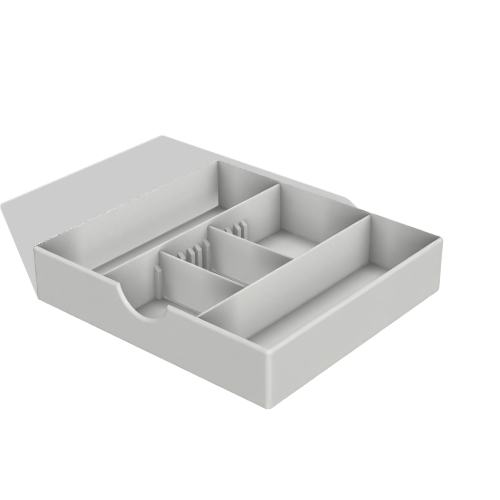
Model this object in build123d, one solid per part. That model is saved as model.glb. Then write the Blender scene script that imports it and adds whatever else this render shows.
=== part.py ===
from build123d import *
import math
import os

# Compartment tray for a desk or a drawer, in moulded light grey plastic: a shell,
# two long dividers and two loose cross dividers in the bay between them.
# Millimetres, +Z up, the thumb notch faces -Y. The origin is at the centre of
# the tray's underside, so the tray rests on the plane Z = 0.

TOL = 1e-3               # for picking edges by place

# ---- tray shell ----
WIDTH = 250.0            # outside, along X
DEPTH = 230.0            # outside, along Y
HEIGHT = 50.0            # underside to the rim's inner edge
WALL = 2.8               # outer walls
FLOOR = 2.8              # floor thickness, so also the Z of its upper face
CORNER_R = 4.1           # outer vertical corners
RIM_R = 3.1              # outer edge of the rim: the round takes in the whole wall
BASE_R = 1.5             # outer bottom edge
FOOT_R = 1.7             # concave radius where walls and dividers stand on the floor

IN_X = WIDTH / 2 - WALL  # inner faces of the side walls, at plus and minus
IN_Y = DEPTH / 2 - WALL  # inner faces of the front and back walls
# The rim's round is wider than the wall, so the pocket cuts off its highest part.
# The blank is taller by this much, which leaves the inner edge at HEIGHT.
RIM_EXTRA = RIM_R - math.sqrt(RIM_R**2 - (RIM_R - WALL) ** 2)
BLANK_TOP = HEIGHT + RIM_EXTRA

# ---- thumb notch in the middle of the front wall ----
NOTCH_R = 26.2
NOTCH_Z = 55.9           # centre of the notch's arc, above the rim
NOTCH_BOTTOM = NOTCH_Z - NOTCH_R
NOTCH_HALF_WIDTH = math.sqrt(NOTCH_R**2 - (NOTCH_Z - BLANK_TOP) ** 2)   # at the blank's top
NOTCH_CORNER_R = 0.5     # where the notch's arc meets the rim
NOTCH_CUT_LENGTH = 20.0  # the cutting cylinder, along Y
NOTCH_CUT_INSET = 5.0    # its middle, behind the front face

# ---- long dividers, front to back ----
PLATE = 2.2              # thickness of every divider
LONG_TOP = 48.2          # top edge, just under the rim
LEFT_FACE_X = -47.0      # bay-side (right-hand) face of the left long divider
RIGHT_FACE_X = 52.5      # outer (right-hand) face of the right long divider
RIGHT_BAY_FACE_X = RIGHT_FACE_X - PLATE
TOP_R = 1.0              # rounded top edges of the dividers
ROOT = 1.0               # depth of the dividers' roots in the floor's grooves

# ---- guide ribs: a pair at each slot, with the slot between them ----
SLOTS = 6
SLOT_PITCH = 20.0
FIRST_SLOT_Y = -DEPTH / 2 + 68.4     # centre of the slot nearest the front
SLOT_GAP = 4.0
RIB = 4.6                # each rib, along Y
RIB_OUT = 5.0            # how far a rib stands off the divider
RIB_TOP = 32.7           # rib top, at the divider's face
RIB_LEAD = 28.3          # rib top, at its outer face: the slope leads a cross divider in
RIB_EDGE_R = 0.35        # softened rib edges

# ---- loose cross dividers ----
CROSS_TOP = 44.0
CROSS_PLAY = 0.25        # gap at each end
CROSS_BACK = 0.6         # they stand this far behind the middle of their slots
CROSS_LIP = 0.4          # edge thickness of the flared foot
CROSS_FOOT_TOP = FLOOR + 12.0        # the foot's section ends here, inside the plate
CROSS_CUT = 2.2          # bottom corners cut back
CROSS_END_R = 0.4        # softened end edges
FRONT_SLOT = 0           # slots in use, counted from the front
REAR_SLOT = 3


def slot_y(slot):
    return FIRST_SLOT_Y + slot * SLOT_PITCH


def block(x0, x1, y0, y1, z0, z1):
    centre = Pos((x0 + x1) / 2, (y0 + y1) / 2, (z0 + z1) / 2)
    return centre * Box(x1 - x0, y1 - y0, z1 - z0)


def edges_at_z(shape, z):
    return shape.edges().filter_by_position(Axis.Z, z - TOL, z + TOL)


# ---------------------------------------------------------------- tray shell
def rim_edges(shape):
    """The shell's outer upper edges: round the top and through the notch."""
    def outside(point):
        return abs(abs(point.X) - WIDTH / 2) < TOL or abs(abs(point.Y) - DEPTH / 2) < TOL

    return [
        edge
        for edge in shape.edges()
        if edge.bounding_box().min.Z > NOTCH_BOTTOM - 1
        and all(outside(vertex) for vertex in edge.vertices())
    ]


def root_groove(face_x):
    """Room in the floor for the root of the long divider with its right-hand face at face_x."""
    return block(
        face_x - PLATE - FOOT_R, face_x + FOOT_R,
        -IN_Y + FOOT_R, IN_Y - FOOT_R,
        FLOOR - ROOT, FLOOR,
    )


def make_tray():
    body = block(-WIDTH / 2, WIDTH / 2, -DEPTH / 2, DEPTH / 2, 0, BLANK_TOP)
    body = fillet(body.edges().filter_by(Axis.Z), CORNER_R)
    body = fillet(edges_at_z(body, 0), BASE_R)

    # thumb notch through the front wall, its two upper corners rounded
    notch_place = Pos(0, -DEPTH / 2 + NOTCH_CUT_INSET, NOTCH_Z) * Rot(90, 0, 0)
    body = body - notch_place * Cylinder(NOTCH_R, NOTCH_CUT_LENGTH)
    notch_corners = [
        edge
        for edge in edges_at_z(body, BLANK_TOP)
        if abs(abs(edge.center().X) - NOTCH_HALF_WIDTH) < TOL
    ]
    body = fillet(notch_corners, NOTCH_CORNER_R)

    # outer edge of the rim, dipping through the notch as well
    body = fillet(rim_edges(body), RIM_R)

    # one pocket, its floor edge rounded
    pocket = block(-IN_X, IN_X, -IN_Y, IN_Y, FLOOR, HEIGHT + 10)
    pocket = fillet(edges_at_z(pocket, FLOOR), FOOT_R)
    body = body - pocket

    for face_x in (LEFT_FACE_X, RIGHT_FACE_X):
        body = body - root_groove(face_x)
    return body


# ------------------------------------------------------------- long dividers
def plate_section(top, base, lip):
    """Upright plate between X = 0 and PLATE: rounded top, foot flared to a lip at the base."""
    lip_z = base + lip
    flare_z = lip_z + FOOT_R
    round_z = top - TOP_R
    with BuildSketch(Plane.XZ) as sketch:
        with BuildLine():
            Line((-FOOT_R, base), (PLATE + FOOT_R, base))
            Line((PLATE + FOOT_R, base), (PLATE + FOOT_R, lip_z))
            JernArc((PLATE + FOOT_R, lip_z), (-1, 0), FOOT_R, -90)
            Line((PLATE, flare_z), (PLATE, round_z))
            JernArc((PLATE, round_z), (0, 1), TOP_R, 90)
            Line((PLATE - TOP_R, top), (TOP_R, top))
            JernArc((TOP_R, top), (-1, 0), TOP_R, 90)
            Line((0, round_z), (0, flare_z))
            JernArc((0, flare_z), (0, -1), FOOT_R, -90)
            Line((-FOOT_R, lip_z), (-FOOT_R, base))
        make_face()
    return sketch.sketch


def make_rib(face_x, side, front_y):
    """One guide rib on the divider face at face_x, standing off towards side (+1 or -1)."""
    inside_x = face_x - side * PLATE / 2
    outer_x = face_x + side * RIB_OUT
    with BuildSketch(Plane.XZ) as sketch:
        with BuildLine():
            Polyline(
                (inside_x, FLOOR),
                (outer_x, FLOOR),
                (outer_x, RIB_LEAD),
                (face_x, RIB_TOP),
                (inside_x, RIB_TOP),
                close=True,
            )
        make_face()
    # the XZ plane faces -Y, so the extrusion runs towards the front
    body = Pos(0, front_y + RIB, 0) * extrude(sketch.sketch, RIB)
    # every edge clear of the divider's face and of the floor
    soft_edges = [
        edge
        for edge in body.edges()
        if (edge.center().X - face_x) * side > 0.1 and edge.center().Z > FLOOR + 1
    ]
    return fillet(soft_edges, RIB_EDGE_R)


def make_long(face_x, side, tray):
    """face_x: the plate's right-hand face; side: the way its guide ribs point."""
    section = plate_section(LONG_TOP, FLOOR - ROOT, ROOT)
    body = Pos(face_x - PLATE, 0, 0) * extrude(section, IN_Y, both=True)
    rib_face_x = face_x if side > 0 else face_x - PLATE
    for slot in range(SLOTS):
        for offset in (-SLOT_GAP / 2 - RIB, SLOT_GAP / 2):
            body = body + make_rib(rib_face_x, side, slot_y(slot) + offset)
    # the ends sit on the rounded foot of the front and back walls
    return body - tray


# ------------------------------------------------------------ cross dividers
def cross_plate(x0, x1):
    """Plate along X with a rounded top, its bottom corners cut back to clear
    the long dividers' flared foot."""
    half = PLATE / 2
    round_z = CROSS_TOP - TOP_R
    with BuildSketch(Plane.YZ) as sketch:
        with BuildLine():
            Line((-half, FLOOR), (half, FLOOR))
            Line((half, FLOOR), (half, round_z))
            JernArc((half, round_z), (0, 1), TOP_R, 90)
            Line((half - TOP_R, CROSS_TOP), (TOP_R - half, CROSS_TOP))
            JernArc((TOP_R - half, CROSS_TOP), (-1, 0), TOP_R, 90)
            Line((-half, round_z), (-half, FLOOR))
        make_face()
    plate = Pos((x0 + x1) / 2, 0, 0) * extrude(sketch.sketch, (x1 - x0) / 2, both=True)
    bottom_corners = [
        edge for edge in plate.edges().filter_by(Axis.Y) if edge.center().Z < FLOOR + 1
    ]
    plate = chamfer(bottom_corners, CROSS_CUT)
    end_edges = [
        edge
        for edge in plate.edges()
        if edge.bounding_box().size.X < TOL and edge.center().Z > FLOOR + CROSS_CUT + 1
    ]
    return fillet(end_edges, CROSS_END_R)


def cross_foot(x0, x1):
    """Flared foot along X, centred on Y = 0."""
    section = plate_section(CROSS_FOOT_TOP, FLOOR, CROSS_LIP)
    foot = Pos(-PLATE / 2, 0, 0) * extrude(section, (x1 - x0) / 2, both=True)
    return Pos((x0 + x1) / 2, 0, 0) * Rot(0, 0, 90) * foot


def make_cross(slot):
    x0 = LEFT_FACE_X + CROSS_PLAY
    x1 = RIGHT_BAY_FACE_X - CROSS_PLAY
    # the foot is shorter: it fits between the ribs of the two long dividers
    body = cross_plate(x0, x1) + cross_foot(x0 + RIB_OUT, x1 - RIB_OUT)
    return Pos(0, slot_y(slot) + CROSS_BACK, 0) * body


# -------------------------------------------------------------------- export
def main():
    os.makedirs("parts", exist_ok=True)
    tray = make_tray()
    pieces = {
        "tray_shell": tray,
        "left_long_divider": make_long(LEFT_FACE_X, 1, tray),
        "right_long_divider": make_long(RIGHT_FACE_X, -1, tray),
        "front_cross_divider": make_cross(FRONT_SLOT),
        "rear_cross_divider": make_cross(REAR_SLOT),
    }
    for name, piece in pieces.items():
        solids = piece.solids()
        out = solids[0] if len(solids) == 1 else Compound(children=list(solids))
        export_step(out, f"parts/{name}.step")


main()
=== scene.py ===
# A light grey moulded plastic tray with guide ribs, two long dividers and two cross dividers,
# on a white floor. Width lies along X (left is -X), depth along Y (front is -Y), and the
# floor is at Z = 0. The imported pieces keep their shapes; this script gives them their
# plastics and sets up the floor, the light and the camera.
import math
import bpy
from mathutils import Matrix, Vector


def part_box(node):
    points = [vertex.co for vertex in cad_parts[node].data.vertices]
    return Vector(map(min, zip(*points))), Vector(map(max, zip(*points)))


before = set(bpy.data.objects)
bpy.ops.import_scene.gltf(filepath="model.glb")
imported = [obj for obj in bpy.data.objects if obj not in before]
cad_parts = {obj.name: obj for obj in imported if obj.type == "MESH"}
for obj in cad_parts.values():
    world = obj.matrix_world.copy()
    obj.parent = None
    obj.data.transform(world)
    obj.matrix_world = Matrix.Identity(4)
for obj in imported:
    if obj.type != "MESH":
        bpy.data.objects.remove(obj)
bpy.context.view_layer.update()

from types import SimpleNamespace

import bpy
from mathutils import Vector

tray_lo, tray_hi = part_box("tray_shell")
TRAY_WIDTH = tray_hi.x - tray_lo.x
TRAY_DEPTH = tray_hi.y - tray_lo.y


# ---------------------------------------------------------------- shader graph helpers
class Graph:
    """Short ways to add nodes to a node tree. A value is an output socket or a constant."""

    def __init__(self, tree):
        self.tree = tree

    def connect(self, target, value):
        if isinstance(value, bpy.types.NodeSocket):
            self.tree.links.new(value, target)
        else:
            target.default_value = value

    def node(self, kind, **inputs):
        new = self.tree.nodes.new(kind)
        for key, value in inputs.items():
            self.connect(new.inputs[key], value)
        return new

    def operation(self, kind, name, values):
        new = self.node(kind)
        new.operation = name
        for i, value in enumerate(values):
            self.connect(new.inputs[i], value)
        return new.outputs

    def math(self, name, *values):
        return self.operation("ShaderNodeMath", name, values)[0]

    def vector(self, name, *values):
        outputs = self.operation("ShaderNodeVectorMath", name, values)
        return outputs["Value" if name == "DOT_PRODUCT" else "Vector"]

    def split(self, vector):
        """The X, Y and Z of a vector."""
        outputs = self.node("ShaderNodeSeparateXYZ", Vector=vector).outputs
        return SimpleNamespace(x=outputs["X"], y=outputs["Y"], z=outputs["Z"])

    def times(self, a, b):
        return self.math("MULTIPLY", a, b)

    def scaled(self, value, by, plus):
        return self.math("MULTIPLY_ADD", value, by, plus)

    def around_one(self, value, amount):
        """1 plus or minus about half of amount, from noise of about 0.5."""
        return self.scaled(value, by=amount, plus=1.0 - amount / 2)

    def towards(self, value, target, share):
        """value moved by share of the way to target."""
        return self.scaled(self.math("SUBTRACT", target, value), by=share, plus=value)

    def within(self, value, reach):
        """1 where value is less than reach away from zero, else 0."""
        return self.math("LESS_THAN", self.math("ABSOLUTE", value), reach)

    def ramp(self, value, between, gives=(0.0, 1.0)):
        """A smooth step over the range between, from the first to the second of gives."""
        new = self.node("ShaderNodeMapRange")
        new.interpolation_type = "SMOOTHSTEP"
        names = ("From Min", "From Max", "To Min", "To Max")
        for name, limit in zip(names, between + gives):
            new.inputs[name].default_value = limit
        self.connect(new.inputs["Value"], value)
        return new.outputs["Result"]


def empty_material(name):
    material = bpy.data.materials.new(name)
    material.use_nodes = True
    material.node_tree.nodes.clear()
    return material, Graph(material.node_tree)


# ---------------------------------------------------------------- corner shading, painted into the plastics' colour
WALL_INSET = 0.0027           # from the outside to just outside the walls' inner faces
INSIDE_X = TRAY_WIDTH / 2 - WALL_INSET
INSIDE_Y = TRAY_DEPTH / 2 - WALL_INSET
INSIDE_BOTTOM = 0.002         # the inside of the shell is above this height
OCCLUSION_SAMPLES = 16
NEAR_REACH, WIDE_REACH, BESIDE_REACH = 0.020, 0.050, 0.045     # how far each occlusion looks
NEAR_LEAN = (0.0, 0.0, 3.0)
WIDE_LEAN = (1.134, 1.356, 0.934)     # X and Y change sign with the way a face looks
KEY_SIDE = (1.3, -1.5, 0.0)           # level, towards the light
BESIDE_RISE = (0.0, 0.0, 0.5)
BESIDE_POWER = 0.42
BESIDE_LEAST = 0.76
BRIGHTEST = 1.25
# (near power, wide power, gain) on upright faces that don't look to the front, and level ones
SIDE_WEIGHTS = (0.60, 1.30, 1.05)
UP_WEIGHTS = (1.30, 1.20, 1.05)


def leaning_occlusion(graph, normal, lean, distance):
    """How much of the light from the side of lean a point still gets, 1 on an open surface."""
    aim = graph.vector("NORMALIZE", graph.vector("ADD", normal, lean))
    occlusion = graph.node("ShaderNodeAmbientOcclusion", Distance=distance, Normal=aim)
    occlusion.samples = OCCLUSION_SAMPLES
    open_share = graph.scaled(graph.vector("DOT_PRODUCT", normal, aim), by=0.5, plus=0.5)
    return graph.math("DIVIDE", occlusion.outputs["AO"], open_share)


def wide_lean(graph, facing):
    """Light leans in from above and from the open side of each face."""
    x, y, z = WIDE_LEAN
    side_x = graph.scaled(graph.math("LESS_THAN", facing.x, -0.5), by=-2 * x, plus=x)
    side_y = graph.scaled(graph.math("GREATER_THAN", facing.y, 0.5), by=2 * y, plus=-y)
    return graph.node("ShaderNodeCombineXYZ", X=side_x, Y=side_y, Z=z).outputs[0]


def beside_lean(graph, normal):
    """Along the face and a little up, on the side of the light."""
    along = graph.vector("SCALE", normal)
    facing_key = graph.vector("DOT_PRODUCT", normal, KEY_SIDE)
    graph.connect(along.node.inputs["Scale"], graph.times(facing_key, -1.0))
    return graph.vector("ADD", graph.vector("ADD", along, KEY_SIDE), BESIDE_RISE)


def looking(graph, component):
    """How squarely a face looks the way of a component of its normal."""
    return graph.math("POWER", graph.math("MAXIMUM", component, 0.0), 2.0)


def long_beside(graph, power, place, looks):
    """On the long dividers, what stands beside counts less to the left and not to the front."""
    power = graph.times(power, graph.math("SUBTRACT", 1.0, looks.front))
    return graph.times(power, graph.ramp(place.x, between=(-0.03, 0.03), gives=(0.35, 1.0)))


def long_corners(graph, shade, place, facing, looks):
    """The painted shade is lightened on the ribs' sloped tops, as if they catch the light."""
    rib_top, half_band = 0.0305, 0.0035
    sloped = graph.math("GREATER_THAN", looks.up, 0.16)
    slope = graph.times(
        sloped, graph.within(graph.math("SUBTRACT", place.z, rib_top), half_band))
    return graph.towards(shade, target=1.0, share=graph.times(slope, 0.30))


def cross_corners(graph, shade, place, facing, looks):
    """The painted shade is lightened at the foot, away from the ends."""
    middle_x = 0.0016
    off_middle = graph.math("ABSOLUTE", graph.math("SUBTRACT", place.x, middle_x))
    middle = graph.ramp(off_middle, between=(0.024, 0.044), gives=(1.0, 0.0))
    low = graph.ramp(place.z, between=(0.010, 0.042), gives=(0.8, 0.0))
    foot = graph.times(low, looks.front)
    return graph.towards(shade, target=0.94, share=graph.times(foot, middle))


def shell_corners(graph, shade, place, facing, looks):
    """The painted shade is lightened at the left wall's foot, and none is painted on the
    outside.
    """
    low = graph.ramp(place.z, between=(0.003, 0.024), gives=(0.75, 0.0))
    foot = graph.times(low, graph.math("GREATER_THAN", facing.x, 0.8))
    shade = graph.towards(shade, target=1.0, share=foot)
    in_x = graph.within(place.x, INSIDE_X)
    in_y = graph.within(place.y, INSIDE_Y)
    inside = graph.times(
        graph.times(in_x, in_y), graph.math("GREATER_THAN", place.z, INSIDE_BOTTOM))
    return graph.scaled(graph.math("SUBTRACT", shade, 1.0), by=inside, plus=1.0)


def painted_corner_shade(graph, coords, piece):
    """Painted shade: the soft darkening in the corners of the bays and between the guide ribs,
    painted into the base colour.

    Returns it with the near occlusion.
    """
    normal = graph.node("ShaderNodeNewGeometry").outputs["Normal"]
    facing = graph.split(normal)
    place = graph.split(coords)
    lean = wide_lean(graph, facing)
    near = leaning_occlusion(graph, normal, NEAR_LEAN, NEAR_REACH)
    wide = leaning_occlusion(graph, normal, lean, WIDE_REACH)
    # past the wall or divider that stands beside the face
    beside = leaning_occlusion(graph, normal, beside_lean(graph, normal), BESIDE_REACH)

    front = looking(graph, graph.times(facing.y, -1.0))
    looks = SimpleNamespace(front=front, up=looking(graph, facing.z))
    near_power, wide_power, gain = [
        graph.scaled(looks.up, by=to_up - to_side,
                     plus=graph.scaled(looks.front, by=to_front - to_side, plus=to_side))
        for to_front, to_side, to_up in zip(piece["front_weights"], SIDE_WEIGHTS, UP_WEIGHTS)
    ]
    near_shade = graph.math("POWER", near, near_power)
    shade = graph.times(near_shade, graph.math("POWER", wide, wide_power))

    # what stands beside counts in the upper part of upright faces
    upright = graph.ramp(looks.up, between=(0.0, 0.3), gives=(1.0, 0.0))
    high = graph.ramp(place.z, between=(0.008, 0.034), gives=(0.0, BESIDE_POWER))
    beside_power = graph.times(upright, high)
    if piece["corners"] is long_corners:
        beside_power = long_beside(graph, beside_power, place, looks)
    beside_shade = graph.math("POWER", beside, beside_power)
    shade = graph.times(shade, graph.math("MAXIMUM", beside_shade, BESIDE_LEAST))
    shade = graph.math("MINIMUM", graph.times(shade, gain), BRIGHTEST)

    shade = piece["corners"](graph, shade, place, facing, looks)
    return graph.math("MAXIMUM", shade, piece["darkest"]), near


# ---------------------------------------------------------------- plastic
GREY = (0.60, 0.60, 0.585)


def moulded_plastic(name, piece):
    """Light grey plastic: spark-eroded grain, cloudy pigment, rubbed edges and light scuffs,
    with painted corner shade in the base colour.
    """
    material, graph = empty_material(name)
    ramp, scaled, times, around_one = graph.ramp, graph.scaled, graph.times, graph.around_one
    output = graph.node("ShaderNodeOutputMaterial")
    plastic = graph.node("ShaderNodeBsdfPrincipled")
    graph.connect(output.inputs["Surface"], plastic.outputs["BSDF"])
    coords = graph.node("ShaderNodeTexCoord").outputs["Object"]
    normal = graph.node("ShaderNodeNewGeometry").outputs["Normal"]
    shade, near = painted_corner_shade(graph, coords, piece)

    def noise(scale, shift, detail, roughness=0.5, stretch=(1.0, 1.0, 1.0)):
        """Noise of about 0.5, features 1/scale metres wide, wider where stretch is lower."""
        offset = piece["seed"] + shift
        mapping = graph.node("ShaderNodeMapping", Scale=stretch, Vector=coords,
                             Location=(offset, offset * 0.7, offset * 1.3))
        return graph.node("ShaderNodeTexNoise", Scale=scale, Detail=detail, Roughness=roughness,
                          Vector=mapping.outputs["Vector"]).outputs["Fac"]

    # grain: fine pits about 0.35 mm across over a softer 1.1 mm orange peel
    pits = noise(scale=2900.0, shift=0.0, detail=1.0, roughness=0.6)
    peel = noise(scale=900.0, shift=1.9, detail=2.0)
    grain = scaled(pits, by=0.6, plus=times(peel, 0.4))

    # pigment and gloss clouds, from the size of the tray down to the grain
    cloud = noise(scale=16.0, shift=4.3, detail=2.0)
    mottle = noise(scale=150.0, shift=7.1, detail=3.0, roughness=0.6)
    sheen = noise(scale=45.0, shift=11.9, detail=3.0, roughness=0.55)

    # edges that stick out are rubbed lighter and smoother, in patches
    bevel = graph.node("ShaderNodeBevel", Radius=0.0009)
    bevel.samples = 4
    straight = graph.vector("DOT_PRODUCT", bevel.outputs["Normal"], normal)
    bend = graph.math("SUBTRACT", 1.0, straight)
    edge = times(ramp(bend, between=(0.015, 0.20)), ramp(near, between=(0.70, 0.95)))
    rubbed = noise(scale=110.0, shift=2.7, detail=3.0, roughness=0.65)
    wear = times(edge, ramp(rubbed, between=(0.38, 0.66), gives=(0.25, 1.0)))

    # fine scuffs, in a few patches
    scratches = noise(scale=1.0, shift=5.5, detail=2.0, stretch=piece["rub"])
    streak = ramp(scratches, between=(0.655, 0.72))
    patch = ramp(noise(scale=26.0, shift=9.3, detail=1.0), between=(0.46, 0.60))
    scuff = times(streak, patch)

    tone_and_shade = times(around_one(cloud, amount=0.036), around_one(mottle, amount=0.045))
    tone_and_shade = times(tone_and_shade, around_one(pits, amount=0.080))
    tone_and_shade = times(tone_and_shade, scaled(wear, by=0.060, plus=1.0))
    tone_and_shade = times(tone_and_shade, scaled(scuff, by=0.050, plus=1.0))
    # painted shade: the corner darkening is multiplied into the base colour here
    tone_and_shade = times(tone_and_shade, shade)
    # the pigment leans a little warmer and cooler across the piece
    red, green, blue = GREY
    tint = graph.node("ShaderNodeCombineXYZ", X=red, Y=green)
    graph.connect(tint.inputs["Z"], times(around_one(sheen, amount=0.020), blue))
    colour = graph.vector("SCALE", tint.outputs[0])
    graph.connect(colour.node.inputs["Scale"], tone_and_shade)
    graph.connect(plastic.inputs["Base Color"], colour)

    rough = scaled(sheen, by=0.16, plus=0.50)
    rough = scaled(mottle, by=0.10, plus=graph.math("SUBTRACT", rough, 0.05))
    rough = scaled(wear, by=-0.14, plus=rough)
    rough = scaled(scuff, by=-0.12, plus=rough)
    graph.connect(plastic.inputs["Roughness"], rough)
    plastic.inputs["Specular IOR Level"].default_value = 0.3

    bump = graph.node("ShaderNodeBump", Strength=0.7, Distance=0.00006)
    worn_grain = times(grain, scaled(wear, by=-0.6, plus=1.0))
    graph.connect(bump.inputs["Height"], scaled(scuff, by=-0.25, plus=worn_grain))
    graph.connect(plastic.inputs["Normal"], bump.outputs["Normal"])
    return material


# rub: the noise stretch that draws the scuffs out along the way things slide
ALONG_TRAY = (700.0, 22.0, 700.0)       # pens and cables slide front to back
UP_AND_DOWN = (600.0, 600.0, 30.0)      # the cross dividers slide in their slots
# darkest: least share of the light in a tight corner
# front_weights: near power, wide power and gain on faces that look to the front
PLASTICS = {
    "shell_plastic": dict(
        seed=0.0, corners=shell_corners, darkest=0.15,
        front_weights=(0.60, 1.40, 1.00), rub=ALONG_TRAY),
    "divider_plastic": dict(
        seed=3.1, corners=long_corners, darkest=0.22,
        front_weights=(0.35, 0.85, 1.00), rub=ALONG_TRAY),
    "cross_divider_plastic": dict(
        seed=7.7, corners=cross_corners, darkest=0.42,
        front_weights=(0.60, 1.30, 1.02), rub=UP_AND_DOWN),
}
PLASTIC_OF = {
    "tray_shell": "shell_plastic",
    "left_long_divider": "divider_plastic",
    "right_long_divider": "divider_plastic",
    "front_cross_divider": "cross_divider_plastic",
    "rear_cross_divider": "cross_divider_plastic",
}
materials = {name: moulded_plastic(name, piece) for name, piece in PLASTICS.items()}
for name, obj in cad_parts.items():
    obj.data.materials.clear()
    obj.data.materials.append(materials[PLASTIC_OF[name]])

# ---------------------------------------------------------------- floor
# The floor shows an even glow, to the camera only, and its own sun draws the tray's shadow.
FLOOR_HALF = 8.0
FLOOR_GLOW = 0.604            # the floor in the shadow, against 1.0 outside it
FLOOR_REFLECTANCE = 0.01
FLOOR_SUNLIGHT = 0.42         # what the sun adds outside the shadow


def floor_white():
    material, graph = empty_material("floor_white")
    output = graph.node("ShaderNodeOutputMaterial")
    mix = graph.node("ShaderNodeMixShader")
    path = graph.node("ShaderNodeLightPath")
    seen = graph.node("ShaderNodeAddShader")
    glow = graph.node("ShaderNodeEmission", Color=(1, 1, 1, 1), Strength=FLOOR_GLOW)
    matt = graph.node("ShaderNodeBsdfDiffuse", Color=(FLOOR_REFLECTANCE,) * 3 + (1,))
    graph.connect(seen.inputs[0], glow.outputs[0])
    graph.connect(seen.inputs[1], matt.outputs[0])
    graph.connect(mix.inputs[0], path.outputs["Is Camera Ray"])
    graph.connect(mix.inputs[2], seen.outputs[0])
    graph.connect(output.inputs["Surface"], mix.outputs[0])
    return material


scene = bpy.context.scene
floor_mesh = bpy.data.meshes.new("floor")
corner_signs = ((-1, -1), (1, -1), (1, 1), (-1, 1))
floor_mesh.from_pydata(
    [(x * FLOOR_HALF, y * FLOOR_HALF, 0) for x, y in corner_signs], [], [(0, 1, 2, 3)])
floor = bpy.data.objects.new("floor", floor_mesh)
scene.collection.objects.link(floor)
floor_mesh.materials.append(floor_white())

# ---------------------------------------------------------------- light
# The backdrop is white to the camera and gives no light of its own.
world = bpy.data.worlds.new("studio")
scene.world = world
world.use_nodes = True
world_graph = Graph(world.node_tree)
backdrop = world.node_tree.nodes["Background"]
backdrop.inputs["Color"].default_value = (1, 1, 1, 1)
world_path = world_graph.node("ShaderNodeLightPath")
world_graph.connect(backdrop.inputs["Strength"], world_path.outputs["Is Camera Ray"])


def receivers_of_light(name, objects):
    collection = bpy.data.collections.new(name)
    for obj in objects:
        collection.objects.link(obj)
    return collection


only_floor = receivers_of_light("lit_floor", [floor])
only_tray = receivers_of_light("lit_tray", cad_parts.values())


def sun(name, to_light, strength, angle_deg, receivers, shadow=False):
    """A sun that lights only the receivers.

    strength is what a white surface facing it would show.
    """
    data = bpy.data.lights.new(name, "SUN")
    data.use_shadow = shadow
    data.energy = strength * math.pi
    data.angle = math.radians(angle_deg)
    # an unshadowed light reaches into the bays whole, so it's sampled from its own side only
    data.cycles.use_multiple_importance_sampling = shadow
    light = bpy.data.objects.new(name, data)
    scene.collection.objects.link(light)
    light.rotation_mode = "QUATERNION"
    light.rotation_quaternion = Vector(to_light).to_track_quat("Z", "Y")
    light.light_linking.receiver_collection = receivers


to_shadow_sun = Vector((0.6678, -0.3895, 0.2)).normalized()
sun("shadow_sun", to_shadow_sun, strength=FLOOR_SUNLIGHT / FLOOR_REFLECTANCE / to_shadow_sun.z,
    angle_deg=0.45, receivers=only_floor, shadow=True)
# name, direction to the light, strength, angle in degrees
TRAY_SUNS = (
    ("key", (0.3455, -0.2605, 0.35), 0.955, 40.0),
    ("sky", (0.0, 0.0, 1.0), 0.406, 175.0),
    ("ground", (0.0, 0.0, -1.0), 0.406, 175.0),
    ("fill", (-0.8, 0.55, 0.0), 0.34, 30.0),
)
for tray_sun in TRAY_SUNS:
    sun(*tray_sun, receivers=only_tray)

# ---------------------------------------------------------------- camera
AZIMUTH = math.radians(39.9394)       # from the front towards the right
ELEVATION = math.radians(27.8685)
DISTANCE = 4.40868                    # from the target, in tray widths
TARGET = (-0.17721, 0.26472, 0.0)     # in tray widths

camera_data = bpy.data.cameras.new("camera")
camera_data.sensor_width = 36.0
camera_data.lens = 88.668
camera_data.clip_start = 0.01
camera_data.clip_end = 100.0
camera = bpy.data.objects.new("camera", camera_data)
scene.collection.objects.link(camera)
to_camera = Vector((
    math.sin(AZIMUTH) * math.cos(ELEVATION),
    -math.cos(AZIMUTH) * math.cos(ELEVATION),
    math.sin(ELEVATION),
))
camera.location = (Vector(TARGET) + to_camera * DISTANCE) * TRAY_WIDTH
camera.rotation_mode = "QUATERNION"
camera.rotation_quaternion = (-to_camera).to_track_quat("-Z", "Y")
scene.camera = camera

scene.view_settings.view_transform = "Standard"
scene.view_settings.look = "None"
scene.cycles.max_bounces = 0
scene.cycles.filter_width = 1.1
